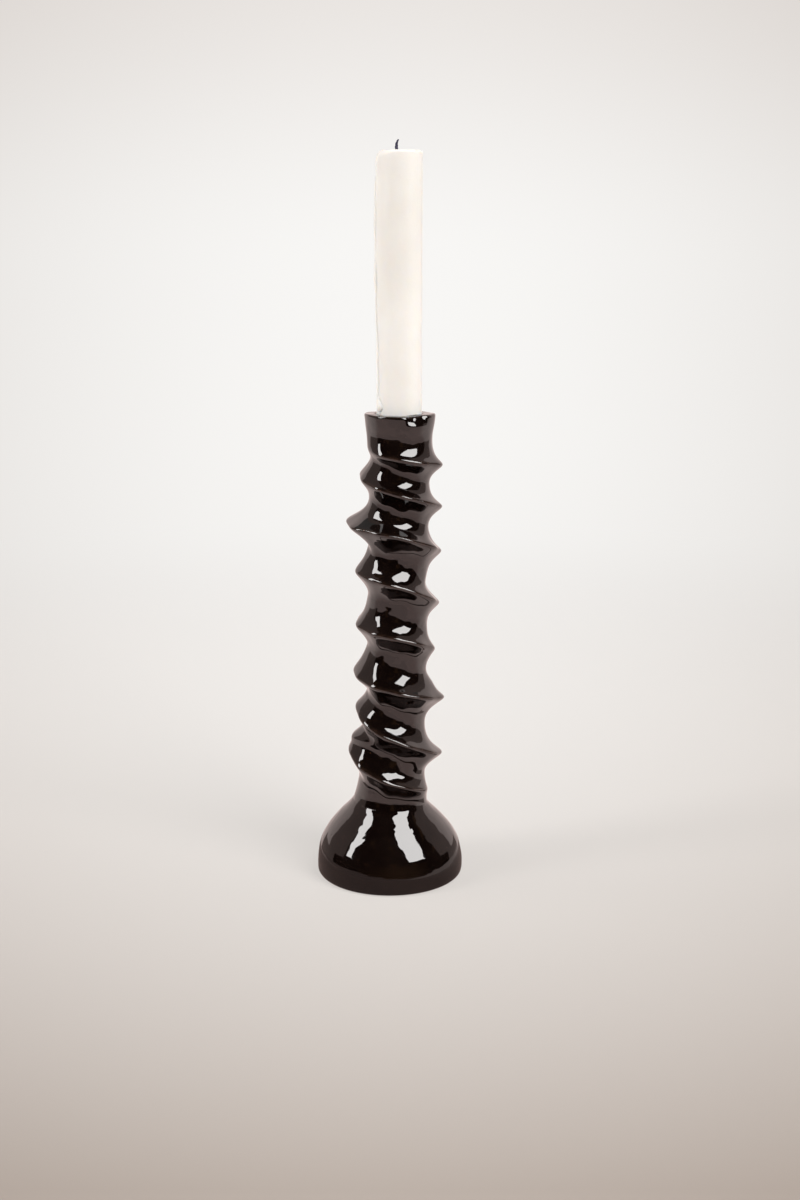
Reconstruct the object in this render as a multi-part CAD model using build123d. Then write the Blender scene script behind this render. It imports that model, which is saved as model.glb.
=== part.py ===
from build123d import *
import math
import os

# A hand-formed spiral candle holder in black glazed stoneware, with its partly burnt candle.
# Lengths are millimetres, the foot stands on the plane of zero height and the front faces -Y.

# Sizes of the whole holder
rim_height = 228.0
stem_lean = 4.6
slip_layer = 0.1

# Sizes of the base dome
base_radius = 36.0
bulge_height = 5.0
foot_radius = 33.6
foot_ring_width = 4.5
haunch_radius = 31.5
haunch_height = 21.5
neck_radius = 19.0
neck_height = 35.0
base_wall = 5.0
crown_slope_share = 0.85
inner_crown_slope_share = 1.2
haunch_normal_shares = (0.76, 0.65)

# Sizes of the stem
waist_radius = 13.65
waist_drop = 78.0
neck_swell = 2.3
stem_wall = 5.5
swell_power = 2
flare_power = 16
collar_power = 3
lean_power = 2.5
stem_ring_shares = (0, 0.02, 0.045, 0.075, 0.11, 0.16, 0.24, 0.36, 0.5, 0.64, 0.78, 0.9, 1)

# Sizes of the socket
candle_radius = 10.75
socket_clearance = 0.55
socket_depth = 22.0
socket_floor = 6.0
collar_wall = 4.4
lip_height = 3.2
lip_reach = 0.75
lip_round = 1.4
mouth_round = 1.1
collar_ring_shares = (0, 0.25, 0.5, 0.75, 1)

# Sizes of the spiral ridge, whose flanks take shares of the room between one turn and the next
ridge_turns = 7
lead_in_quarters = 2
lead_out_quarters = 1
first_crest_drop = 23.7
last_crest_rise = 7.5
ridge_reach = 11.5
crest_blunt = 1.3
upper_flank_share = 0.64
lower_flank_share = 0.3
least_flank_share = 0.6
least_blunt_share = 0.3
upper_hollow_shares = (0.14, 0.36)
lower_hollow_shares = (0.2, 0.42)
sections_per_quarter = 3

# How far the crest strays upwards from an even screw, in shares of the pitch.
# One row is one turn, from the left round by the front and the right to the back.
crest_wander_shares = (
    (-0.12, -0.04, 0.00, 0.10),
    (0.27, 0.25, 0.13, 0.18),
    (0.31, 0.40, 0.20, 0.20),
    (0.30, 0.35, 0.10, 0.08),
    (0.16, 0.26, 0.10, 0.06),
    (0.10, 0.13, 0.05, 0.16),
    (0.32, 0.09, -0.18, 0.06),
    (0.32, 0.14, 0.00, 0.14),
)
# How far the crest stands out from the stem, in shares of the largest reach, in the same order.
crest_reach_shares = (
    (0.03, 0.35, 0.51, 0.45),
    (0.39, 0.50, 0.57, 0.75),
    (1.00, 0.65, 0.55, 0.55),
    (0.57, 0.52, 0.51, 0.52),
    (0.52, 0.50, 0.38, 0.48),
    (0.59, 0.60, 0.75, 0.55),
    (0.41, 0.55, 0.60, 0.62),
    (0.66, 0.45, 0.12, 0.03),
)

# Sizes of the candle and its wick
candle_length = 141.8
seat_gap = 0.25
candle_foot_chamfer = 0.8
melt_pool_depth = 1.6
melt_pool_margin = 1.8
shoulder_melt_width = 3.6
shoulder_melt_drop = 5.2
wick_radius = 0.8
wick_play = 0.05
wick_offset = 1.2
wick_stand = 3.6
wick_bend_radius = 4.0
wick_bend_degrees = 42

# Sizes of the wax that ran down the candle, heights as shares of the run from its foot up
wax_film = 0.05
run_foot_rise = 8.6
run_top_drop = 6.0
run_radius = 1.9
run_drift_degrees = 16
run_height_shares = (0, 0.05, 0.14, 0.3, 0.47, 0.53, 0.58, 0.66, 0.8, 0.86, 0.93, 1)
run_swell_shares = (0.4, 0.72, 0.66, 0.55, 0.66, 1.0, 0.86, 0.55, 0.9, 0.62, 0.52, 0.3)
bead_radius = 2.5
bead_length = 7.2
bead_rise = 0.7
bead_shares = ((0, 0.3), (0.16, 0.82), (0.4, 1), (0.7, 0.76), (1, 0.28))

# Room that one piece needs past another so that a cut goes right through
overrun = 1.0

# Places that follow from the sizes above
socket_bore = candle_radius + socket_clearance
collar_radius = socket_bore + collar_wall
socket_seat = rim_height - socket_depth
cup_height = socket_seat - socket_floor
waist_height = rim_height - waist_drop
neck_flare = neck_radius - waist_radius - neck_swell
first_crest = rim_height - first_crest_drop
last_crest = neck_height + last_crest_rise
pitch = (first_crest - last_crest) / ridge_turns
candle_foot = socket_seat + seat_gap
candle_top = candle_foot + candle_length


def core_radius(height):
    """Outer radius of the plain stem and collar under the ridge, by height."""
    if height > waist_height:
        rise = (height - waist_height) / waist_drop
        return waist_radius + (collar_radius - waist_radius) * rise**collar_power
    fall = (waist_height - height) / (waist_height - neck_height)
    return waist_radius + neck_swell * fall**swell_power + neck_flare * fall**flare_power


def lean_share(height):
    """Share of the stem's height still above a place, from one at the neck to zero at the cup."""
    left = (cup_height - height) / (cup_height - neck_height)
    return min(max(left, 0), 1)


def axis_offset(height):
    """Sideways place of the stem's axis, which leaves the neck leaning and ends upright."""
    return stem_lean * (1 - lean_share(height) ** lean_power)


def axis_slope(height):
    """Sideways run of the stem's axis for each millimetre of height."""
    steepest = lean_power * stem_lean / (cup_height - neck_height)
    return steepest * lean_share(height) ** (lean_power - 1)


def eased(rows, place):
    """A smooth curve through a table's values in reading order, level past both ends."""
    values = [value for row in rows for value in row]
    last = len(values) - 1
    start = math.floor(place)
    ahead = place - start
    before, here, there, after = (values[min(max(start + step, 0), last)] for step in (-1, 0, 1, 2))
    bend = 2 * before - 5 * here + 4 * there - after
    twist = 3 * (here - there) + after - before
    return here + ahead * (there - before + ahead * (bend + ahead * twist)) / 2


def turned(outline):
    """A solid of revolution about the upright axis, from edges drawn as radius and height."""
    return revolve(Plane.XZ * make_face(outline), Axis.Z)


def base_dome():
    """The hollow foot: an inverted bowl with a flat foot ring and an open underside."""
    foot_inside = foot_radius - foot_ring_width
    hollow_radius = base_radius - base_wall
    neck_bore = neck_radius - stem_wall
    inner_haunch = (
        haunch_radius - base_wall * haunch_normal_shares[0],
        haunch_height - base_wall * haunch_normal_shares[1],
    )
    outer = Spline(
        (base_radius, bulge_height),
        (haunch_radius, haunch_height),
        (neck_radius, neck_height),
        tangents=((0, 1), (-1, crown_slope_share)),
    )
    inner = Spline(
        (neck_bore, neck_height),
        inner_haunch,
        (hollow_radius, bulge_height),
        tangents=((1, -inner_crown_slope_share), (0, -1)),
    )
    return turned(
        [
            Line((foot_inside, 0), (foot_radius, 0)),
            Bezier((foot_radius, 0), (base_radius, 0), (base_radius, bulge_height)),
            outer,
            Line((neck_radius, neck_height), (neck_bore, neck_height)),
            inner,
            Line((hollow_radius, bulge_height), (foot_inside, 0)),
        ]
    )


def leaning_tube(inset, margin):
    """A rod along the stem's axis, inset from the stem's outside and longer by a margin at each end."""
    heights = [neck_height + share * (cup_height - neck_height) for share in stem_ring_shares]
    rings = [(height, core_radius(height) - inset, axis_offset(height)) for height in heights]
    rod = loft([Pos(offset, 0, height) * Circle(radius) for height, radius, offset in rings])
    if margin:
        for (height, radius, offset), side in ((rings[0], Align.MAX), (rings[-1], Align.MIN)):
            rod += Pos(offset, 0, height) * Cylinder(
                radius, margin, align=(Align.CENTER, Align.CENTER, side)
            )
    return rod


def stem_core():
    """The hollow stem under the ridge, luted to the base below and to the socket above."""
    return leaning_tube(0, 0) - leaning_tube(stem_wall, overrun)


def socket_cup():
    """The plain collar with a small turned-out lip and the round socket for the candle."""
    lip_foot = rim_height - lip_height
    lip_radius = collar_radius + lip_reach
    lip_brow = rim_height - lip_round
    collar = [cup_height + share * (lip_foot - cup_height) for share in collar_ring_shares]
    cup = turned(
        [
            Line((0, cup_height), (core_radius(cup_height), cup_height)),
            Spline(*((core_radius(height), height) for height in collar)),
            Bezier((core_radius(lip_foot), lip_foot), (lip_radius, lip_foot), (lip_radius, lip_brow)),
            Bezier((lip_radius, lip_brow), (lip_radius, rim_height), (lip_radius - lip_round, rim_height)),
            Line((lip_radius - lip_round, rim_height), (socket_bore + mouth_round, rim_height)),
            Bezier(
                (socket_bore + mouth_round, rim_height),
                (socket_bore, rim_height),
                (socket_bore, rim_height - mouth_round),
            ),
            Line((socket_bore, rim_height - mouth_round), (socket_bore, socket_seat)),
            Line((socket_bore, socket_seat), (0, socket_seat)),
            Line((0, socket_seat), (0, cup_height)),
        ]
    )
    return Pos(stem_lean, 0, 0) * cup


def crest_height(place):
    """Height of the ridge's crest, a number of quarter turns from its top end."""
    even = first_crest - pitch * (place - lead_in_quarters) / 4
    return even + pitch * eased(crest_wander_shares, place)


def ridge_section(place):
    """The ridge's cross-section in a plane along the stem's axis, with hollow flanks and a blunt crest."""
    share = eased(crest_reach_shares, place)
    crest = crest_height(place)
    reach = ridge_reach * share
    blunt = crest_blunt * (least_blunt_share + (1 - least_blunt_share) * share) / 2
    width_share = least_flank_share + (1 - least_flank_share) * share
    up = upper_flank_share * width_share * (crest_height(place - 4) - crest)
    down = lower_flank_share * width_share * (crest - crest_height(place + 4))
    down = min(down, crest - neck_height)
    angle = math.radians(90 * (place + 2))
    low_root = core_radius(crest - down) + slip_layer
    high_root = core_radius(crest + up) + slip_layer
    taper = (high_root - low_root) / (up + down)

    def spot(lift, rise):
        """A point of the section, by its lift off the stem and its height over the crest."""
        radius = low_root + taper * (rise + down) + lift
        sideways = axis_offset(crest) + axis_slope(crest) * rise
        return (
            sideways + radius * math.cos(angle),
            radius * math.sin(angle),
            crest + rise,
        )

    high = spot(0, up)
    low = spot(0, -down)
    brow = spot(reach - blunt, blunt)
    chin = spot(reach - blunt, -blunt)
    upper_hollow = spot(reach * upper_hollow_shares[0], up * upper_hollow_shares[1])
    lower_hollow = spot(reach * lower_hollow_shares[0], -down * lower_hollow_shares[1])
    return make_face(
        [
            Line(low, high),
            Bezier(high, upper_hollow, brow),
            ThreePointArc(brow, spot(reach, 0), chin),
            Bezier(chin, lower_hollow, low),
        ]
    )


def spiral_ridge():
    """The unbroken left-hand ridge, drawn out of the clay turn by turn from the collar to the neck."""
    quarters = lead_in_quarters + 4 * ridge_turns + lead_out_quarters
    steps = quarters * sections_per_quarter + 1
    return loft([ridge_section(step / sections_per_quarter) for step in range(steps)])


def candle():
    """The wax stick: a bored cylinder with a shallow melt pool and its left shoulder melted away."""
    pool_radius = candle_radius - melt_pool_margin
    stick = Cylinder(candle_radius, candle_length, align=(Align.CENTER, Align.CENTER, Align.MIN))
    stick = chamfer(stick.edges().group_by(Axis.Z)[0], candle_foot_chamfer)
    pool = turned(
        [
            Line((0, candle_length - melt_pool_depth), (0, candle_length)),
            Line((0, candle_length), (pool_radius, candle_length)),
            Bezier(
                (pool_radius, candle_length),
                (pool_radius / 2, candle_length - melt_pool_depth),
                (0, candle_length - melt_pool_depth),
            ),
        ]
    )
    slope = make_face(
        Polyline(
            (-candle_radius, candle_length - shoulder_melt_drop),
            (-candle_radius + shoulder_melt_width, candle_length),
            (-candle_radius + shoulder_melt_width, candle_length + overrun),
            (-candle_radius - overrun, candle_length + overrun),
            (-candle_radius - overrun, candle_length - shoulder_melt_drop),
            close=True,
        )
    )
    shoulder = extrude(Plane.XZ * slope, candle_radius, both=True)
    bore = Pos(-wick_offset, 0, 0) * Cylinder(
        wick_radius + wick_play, candle_length, align=(Align.CENTER, Align.CENTER, Align.MIN)
    )
    return Pos(stem_lean, 0, candle_foot) * (stick - pool - shoulder - bore)


def wick():
    """The wick, through the whole candle and curled over at its burnt tip."""
    bend_height = candle_length + wick_stand - melt_pool_depth
    straight = Line((0, 0, 0), (0, 0, bend_height))
    curl = Plane.XZ * CenterArc((wick_bend_radius, bend_height), wick_bend_radius, 180, -wick_bend_degrees)
    cord = sweep(Circle(wick_radius), path=Wire([straight, curl.edge()]))
    return Pos(stem_lean - wick_offset, 0, candle_foot) * cord


def drip(heights, radii, angles):
    """A run of wax on the candle's side: a lofted trickle with the candle's own round taken out of it."""
    rings = []
    for height, radius, angle in zip(heights, radii, angles):
        turn = math.radians(angle)
        rings.append(
            Pos(stem_lean + candle_radius * math.cos(turn), candle_radius * math.sin(turn), height)
            * Circle(radius)
        )
    length = heights[-1] - heights[0] + 2 * overrun
    stick = Pos(stem_lean, 0, heights[0] - overrun) * Cylinder(
        candle_radius + wax_film, length, align=(Align.CENTER, Align.CENTER, Align.MIN)
    )
    return loft(rings) - stick


def wax_run():
    """The long trickle down the candle's left side, swollen where drops set on it."""
    foot = rim_height + run_foot_rise
    length = candle_top - shoulder_melt_drop - run_top_drop - foot
    return drip(
        [foot + share * length for share in run_height_shares],
        [run_radius * share for share in run_swell_shares],
        [180 + run_drift_degrees * (1 - share) for share in run_height_shares],
    )


def wax_bead():
    """The drop that set at the end of the trickle, just over the rim."""
    return drip(
        [rim_height + bead_rise + share * bead_length for share, swell in bead_shares],
        [bead_radius * swell for share, swell in bead_shares],
        [180 + run_drift_degrees for bead in bead_shares],
    )


os.makedirs("parts", exist_ok=True)
for piece in (base_dome, stem_core, socket_cup, spiral_ridge, candle, wick, wax_run, wax_bead):
    export_step(piece(), f"parts/{piece.__name__}.step")
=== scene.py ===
import logging
import math
from dataclasses import dataclass
from enum import Enum

import bpy
import numpy as np
from bpy.types import Material, Mesh, Node, NodeSocket, NodeTree, Object
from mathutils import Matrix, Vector


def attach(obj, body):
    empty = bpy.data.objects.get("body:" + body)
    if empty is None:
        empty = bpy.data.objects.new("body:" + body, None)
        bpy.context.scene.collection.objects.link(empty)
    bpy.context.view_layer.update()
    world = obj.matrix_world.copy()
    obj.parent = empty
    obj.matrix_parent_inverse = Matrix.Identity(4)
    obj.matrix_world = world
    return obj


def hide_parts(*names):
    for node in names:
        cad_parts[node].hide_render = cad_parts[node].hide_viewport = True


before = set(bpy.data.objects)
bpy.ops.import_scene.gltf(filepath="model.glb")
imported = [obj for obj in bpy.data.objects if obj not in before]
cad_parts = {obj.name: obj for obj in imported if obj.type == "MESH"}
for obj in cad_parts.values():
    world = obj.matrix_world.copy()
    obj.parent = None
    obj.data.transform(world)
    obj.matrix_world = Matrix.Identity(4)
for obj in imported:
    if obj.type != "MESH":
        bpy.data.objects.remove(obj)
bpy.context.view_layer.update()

# Looks of a hand-formed spiral candle holder in black glaze, with its partly burnt candle.
# Sizes in the classes are millimetres unless they say metres; meshes are in metres.

MM = 0.001
LOG = logging.getLogger("candle_holder")

Pair = tuple[float, float]
Triple = tuple[float, float, float]
Stations = tuple[Pair, ...]
Surface = tuple[np.ndarray, np.ndarray, np.ndarray]


class Body(Enum):
    """The bodies that pieces ride on."""

    HOLDER = "holder"
    CANDLE = "candle"


class Slot(Enum):
    """The record's material slots."""

    GLAZE = "black_glaze"
    WAX = "wax"
    COTTON = "burnt_cotton"


def eased(values: np.ndarray, place: np.ndarray) -> np.ndarray:
    """Reads a table between its entries: a Catmull-Rom curve through the values, level past both ends.

    Args:
        values: Table, one entry for each whole place.
        place: Places to read, whole or between.

    Returns:
        Value at each place.
    """
    whole = np.floor(place).astype(int)
    past = place - whole
    before, here, there, after = (values[np.clip(whole + k, 0, len(values) - 1)] for k in (-1, 0, 1, 2))
    cubic = 3 * (here - there) + after - before
    square = 2 * before - 5 * here + 4 * there - after
    return here + past * (there - before + past * (square + past * cubic)) / 2


def smooth_step(value: np.ndarray, low: float, high: float) -> np.ndarray:
    """Rises from 0 at low to 1 at high, with level ends.

    Args:
        value: Where to read it.
        low: Value at which the rise starts.
        high: Value at which it ends.

    Returns:
        Share of the rise, 3 t squared less 2 t cubed.
    """
    share = np.clip((value - low) / (high - low), 0, 1)
    return share * share * (3 - 2 * share)


def normal_of(rings: np.ndarray) -> np.ndarray:
    """Normals of a surface on a grid that closes round its columns: the cross product of its two differences.

    Args:
        rings: Points, rows by columns by 3.

    Returns:
        Unit normals of the same shape.
    """
    around = np.roll(rings, -1, axis=1) - np.roll(rings, 1, axis=1)
    along = np.gradient(rings, axis=0)
    normal = np.cross(around, along)
    return normal / np.maximum(np.linalg.norm(normal, axis=-1, keepdims=True), 1e-12)


def turn_mesh(name: str, rings: np.ndarray) -> Mesh:
    """Closed mesh of rings that follow each other along a profile, with a pole in the middle of each
    end ring.

    Args:
        name: Name of the mesh.
        rings: Points in millimetres, rows by columns by 3; columns run anticlockwise seen from above.

    Returns:
        Smooth mesh in metres whose faces point outwards where rows climb the outside.
    """
    rows, columns = rings.shape[:2]
    points = np.vstack([rings.reshape(-1, 3), rings[0].mean(axis=0), rings[-1].mean(axis=0)]) * MM
    index = np.arange(rows * columns).reshape(rows, columns)
    beside = np.roll(index, -1, axis=1)
    quads = np.stack([index[:-1], beside[:-1], beside[1:], index[1:]], axis=-1).reshape(-1, 4)
    first = np.stack([beside[0], index[0], np.full(columns, rows * columns)], axis=-1)
    last = np.stack([index[-1], beside[-1], np.full(columns, rows * columns + 1)], axis=-1)
    mesh = bpy.data.meshes.new(name)
    mesh.from_pydata(points.tolist(), [], quads.tolist() + first.tolist() + last.tolist())
    mesh.shade_smooth()
    return mesh


def sheet_mesh(name: str, grid: np.ndarray) -> Mesh:
    """Open mesh on a grid of points.

    Args:
        name: Name of the mesh.
        grid: Points in metres, rows by columns by 3.

    Returns:
        Smooth mesh with one quad for each cell.
    """
    rows, columns = grid.shape[:2]
    index = np.arange(rows * columns).reshape(rows, columns)
    cells = [index[:-1, :-1], index[:-1, 1:], index[1:, 1:], index[1:, :-1]]
    mesh = bpy.data.meshes.new(name)
    mesh.from_pydata(grid.reshape(-1, 3).tolist(), [], np.stack(cells, axis=-1).reshape(-1, 4).tolist())
    mesh.shade_smooth()
    return mesh


def paint(mesh: Mesh, name: str, values: np.ndarray) -> None:
    """Stores one number for each vertex as a named attribute.

    Args:
        mesh: Mesh that gets the attribute.
        name: Name that materials read.
        values: One value for each vertex, in the mesh's order.
    """
    mesh.attributes.new(name, "FLOAT", "POINT").data.foreach_set("value", values.astype(np.float32))


def link_mesh(mesh: Mesh) -> Object:
    """Links a mesh to the scene as an object of its own name, at the origin."""
    piece = bpy.data.objects.new(mesh.name, mesh)
    bpy.context.scene.collection.objects.link(piece)
    return piece


def place_piece(mesh: Mesh, body: Body, slot: Slot, *nodes: str) -> None:
    """Makes a piece of the object from a mesh and ties it to the frame.

    Args:
        mesh: Finished mesh, in place.
        body: Body that carries the piece.
        slot: Record's material slot of its finish; not used.
        nodes: Nodes that the piece stands for.
    """
    piece = link_mesh(mesh)
    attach(piece, body.value)
    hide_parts(*nodes)
    LOG.info("%s: %d faces for %s", mesh.name, len(mesh.polygons), ", ".join(nodes))


def place_stage(mesh: Mesh, finish: Material) -> Object:
    """Makes a piece of the studio from a mesh.

    Args:
        mesh: Finished mesh, in place.
        finish: Material it wears.

    Returns:
        The linked object.
    """
    piece = link_mesh(mesh)
    mesh.materials.append(finish)
    return piece


class Board:
    """Places and wires the nodes of one node tree."""

    def __init__(self, tree: NodeTree) -> None:
        """Takes over a tree and clears it.

        Args:
            tree: Tree of a material, world or group.
        """
        self.tree = tree
        tree.nodes.clear()

    def add(self, kind: str, **settings: object) -> Node:
        """Adds a node.

        Args:
            kind: Node type, without the ShaderNode part where it has one.
            settings: Properties of the node by name.

        Returns:
            The new node.
        """
        node = self.tree.nodes.new(kind if kind.startswith("NodeGroup") else "ShaderNode" + kind)
        for name, value in settings.items():
            setattr(node, name, value)
        return node

    def group(self, tree: NodeTree, place: NodeSocket, **values: float) -> NodeSocket:
        """Places a shared group and sets its inputs.

        Args:
            tree: The group.
            place: Socket of the place on the piece.
            values: Input values by socket name.

        Returns:
            The group's output.
        """
        node = self.add("Group", node_tree=tree)
        self.wire(place, node.inputs["Place"])
        for name, value in values.items():
            node.inputs[name].default_value = value
        return node.outputs[0]

    def wire(self, source: NodeSocket, target: NodeSocket) -> None:
        """Links an output to an input."""
        self.tree.links.new(source, target)

    def feed(self, source: object, target: NodeSocket) -> None:
        """Gives an input a socket, a plain number or a plain colour.

        Args:
            source: Socket, number or colour.
            target: Input that takes it.
        """
        if isinstance(source, NodeSocket):
            self.wire(source, target)
        else:
            target.default_value = (*source, 1.0) if isinstance(source, tuple) else source

    def mix(self, share: object, low: object, high: object, blend: str = "MIX") -> NodeSocket:
        """Mixes two colours.

        Args:
            share: Socket that gives the share of the second colour.
            low: First colour, a socket or a plain colour.
            high: Second colour, a socket or a plain colour.
            blend: How the second colour goes over the first.

        Returns:
            Socket of the mixed colour.
        """
        node = self.add("Mix", data_type="RGBA", blend_type=blend)
        self.wire(share, node.inputs["Factor"])
        self.feed(low, node.inputs[6])
        self.feed(high, node.inputs[7])
        return node.outputs[2]

    def reckon(self, kind: str, first: object, second: object) -> NodeSocket:
        """Works out one number from two.

        Args:
            kind: Operation of the Math node.
            first: First number, a socket or a plain value.
            second: Second number, a socket or a plain value.

        Returns:
            Socket of the result.
        """
        node = self.add("Math", operation=kind)
        self.feed(first, node.inputs[0])
        self.feed(second, node.inputs[1])
        return node.outputs[0]

    def ramp(self, value: NodeSocket, low: float, high: float, to: Pair) -> NodeSocket:
        """Maps a range smoothly onto another, clamped.

        Args:
            value: Socket to map.
            low: Start of its range.
            high: End of its range.
            to: Values at the start and the end.

        Returns:
            Socket of the mapped value.
        """
        node = self.add("MapRange", interpolation_type="SMOOTHSTEP")
        self.wire(value, node.inputs["Value"])
        for name, number in zip(("From Min", "From Max", "To Min", "To Max"), (low, high, *to)):
            node.inputs[name].default_value = number
        return node.outputs["Result"]

    def parts(self) -> tuple[NodeSocket, NodeSocket, NodeSocket]:
        """Splits the place on the piece.

        Returns:
            Sockets of X, Y and Z in Object coordinates.
        """
        split = self.add("SeparateXYZ")
        self.wire(self.add("TexCoord").outputs["Object"], split.inputs["Vector"])
        return split.outputs["X"], split.outputs["Y"], split.outputs["Z"]

    def glow(self, colour: NodeSocket) -> Node:
        """Adds a light-giving surface of a colour.

        Args:
            colour: Socket of the colour, where 1 is white.

        Returns:
            The Emission node.
        """
        node = self.add("Emission")
        self.wire(colour, node.inputs["Color"])
        return node

    def end(self, surface: NodeSocket) -> None:
        """Makes a shader the material's surface."""
        self.wire(surface, self.add("OutputMaterial").inputs["Surface"])


def open_material(name: str) -> tuple[Material, Board]:
    """Starts a material.

    Args:
        name: Name of the material.

    Returns:
        The material and its cleared board.
    """
    material = bpy.data.materials.new(name)
    material.use_nodes = True
    return material, Board(material.node_tree)


class Effects:
    """Shader groups that several finishes share, each built once."""

    cloud_detail: float = 3.0
    cloud_band: Pair = (0.3, 0.7)
    spot_edge: Pair = (0.6, 1.0)
    grain_roughness: float = 0.45

    def __init__(self) -> None:
        """Builds the groups."""
        self.mottle = self._mottle()
        self.flecks = self._flecks()
        self.relief = self._relief()

    @staticmethod
    def _open(name: str, inputs: tuple[str, ...], output: str) -> tuple[Board, Node, Node]:
        """Starts a group that reads a place and some numbers and gives one number.

        Args:
            name: Name of the group.
            inputs: Names of its number inputs.
            output: Name of its output.

        Returns:
            Its board, its input node and its output node.
        """
        tree = bpy.data.node_groups.new(name, "ShaderNodeTree")
        tree.interface.new_socket("Place", in_out="INPUT", socket_type="NodeSocketVector")
        for number in inputs:
            tree.interface.new_socket(number, in_out="INPUT", socket_type="NodeSocketFloat")
        tree.interface.new_socket(output, in_out="OUTPUT", socket_type="NodeSocketFloat")
        board = Board(tree)
        return board, board.add("NodeGroupInput"), board.add("NodeGroupOutput")

    def _mottle(self) -> NodeTree:
        """Soft cloudy change between two values.

        Returns:
            The group, from Low to High.
        """
        board, given, gives = self._open("soft_mottle", ("Scale", "Low", "High"), "Value")
        noise = board.add("TexNoise")
        noise.inputs["Detail"].default_value = self.cloud_detail
        spread = board.add("MapRange", interpolation_type="SMOOTHSTEP")
        spread.inputs["From Min"].default_value, spread.inputs["From Max"].default_value = self.cloud_band
        board.wire(given.outputs["Place"], noise.inputs["Vector"])
        board.wire(given.outputs["Scale"], noise.inputs["Scale"])
        board.wire(noise.outputs["Fac"], spread.inputs["Value"])
        board.wire(given.outputs["Low"], spread.inputs["To Min"])
        board.wire(given.outputs["High"], spread.inputs["To Max"])
        board.wire(spread.outputs["Result"], gives.inputs["Value"])
        return board.tree

    def _flecks(self) -> NodeTree:
        """Small round spots in a share of the cells of a Voronoi pattern.

        Returns:
            The group, 1 on a spot.
        """
        board, given, gives = self._open("fleck_mask", ("Scale", "Share", "Size"), "Mask")
        cells = board.add("TexVoronoi")
        board.wire(given.outputs["Place"], cells.inputs["Vector"])
        board.wire(given.outputs["Scale"], cells.inputs["Scale"])
        parts = board.add("SeparateColor")
        board.wire(cells.outputs["Color"], parts.inputs["Color"])
        chosen = board.reckon("LESS_THAN", parts.outputs[0], given.outputs["Share"])
        near = board.reckon("DIVIDE", cells.outputs["Distance"], given.outputs["Size"])
        spot = board.ramp(near, *self.spot_edge, (1.0, 0.0))
        board.wire(board.reckon("MULTIPLY", chosen, spot), gives.inputs["Mask"])
        return board.tree

    def _relief(self) -> NodeTree:
        """Fine unevenness of a surface as a height.

        Returns:
            The group, from 0 to 1.
        """
        board, given, gives = self._open("fine_relief", ("Scale", "Grain"), "Height")
        noise = board.add("TexNoise")
        noise.inputs["Roughness"].default_value = self.grain_roughness
        board.wire(given.outputs["Place"], noise.inputs["Vector"])
        board.wire(given.outputs["Scale"], noise.inputs["Scale"])
        board.wire(given.outputs["Grain"], noise.inputs["Detail"])
        board.wire(noise.outputs["Fac"], gives.inputs["Height"])
        return board.tree


@dataclass(frozen=True)
class Finish:
    """What the finishes have in common: a name and a Principled shader on Object coordinates."""

    name: str

    def open(self) -> tuple[Material, Board, Node, NodeSocket]:
        """Starts the material.

        Returns:
            The material, its board, its Principled node and its place socket.
        """
        material, board = open_material(self.name)
        shader = board.add("BsdfPrincipled")
        board.end(shader.outputs["BSDF"])
        place = board.add("TexCoord").outputs["Object"]
        return material, board, shader, place

    @staticmethod
    def raise_grain(board: Board, shader: Node, height: NodeSocket, depth: float) -> None:
        """Lets a height bend the shader's normal.

        Args:
            board: Board of the material.
            shader: Its Principled node.
            height: Height from 0 to 1.
            depth: Depth of the whole range in metres.
        """
        bump = board.add("Bump")
        bump.inputs["Strength"].default_value = 1.0
        bump.inputs["Distance"].default_value = depth
        board.wire(height, bump.inputs["Height"])
        board.wire(bump.outputs["Normal"], shader.inputs["Normal"])


@dataclass(frozen=True)
class BlackGlaze(Finish):
    """High-gloss warm black glaze that breaks brown where it runs thin, with flecks and pits."""

    pool: Triple = (0.0024, 0.0012, 0.0010)
    cloud: Triple = (0.0048, 0.0028, 0.0023)
    thin: Triple = (0.022, 0.012, 0.008)
    fleck: Triple = (0.10, 0.042, 0.018)
    gloss: Pair = (0.02, 0.055)
    refraction: float = 1.75
    relief_depth: float = 0.00006

    def material(self, effects: Effects) -> Material:
        """Builds the material.

        Args:
            effects: Shared groups.

        Returns:
            The material, which reads the attribute crest.
        """
        material, board, shader, place = self.open()
        cloud = board.group(effects.mottle, place, Scale=70.0, Low=0.0, High=1.0)
        patch = board.group(effects.mottle, place, Scale=420.0, Low=0.15, High=1.0)
        flecks = board.group(effects.flecks, place, Scale=420.0, Share=0.012, Size=0.16)
        pits = board.group(effects.flecks, place, Scale=210.0, Share=0.04, Size=0.15)
        peel = board.group(effects.relief, place, Scale=260.0, Grain=1.0)
        wear = board.group(effects.mottle, place, Scale=150.0, Low=self.gloss[0], High=self.gloss[1])
        crest = board.add("Attribute", attribute_name="crest").outputs["Fac"]
        broken = board.reckon("MULTIPLY", crest, patch)
        colour = board.mix(cloud, self.pool, self.cloud)
        colour = board.mix(broken, colour, self.thin)
        colour = board.mix(flecks, colour, self.fleck)
        board.wire(colour, shader.inputs["Base Color"])
        board.wire(wear, shader.inputs["Roughness"])
        height = board.reckon("SUBTRACT", peel, pits)
        self.raise_grain(board, shader, height, self.relief_depth)
        shader.inputs["IOR"].default_value = self.refraction
        return material


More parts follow.
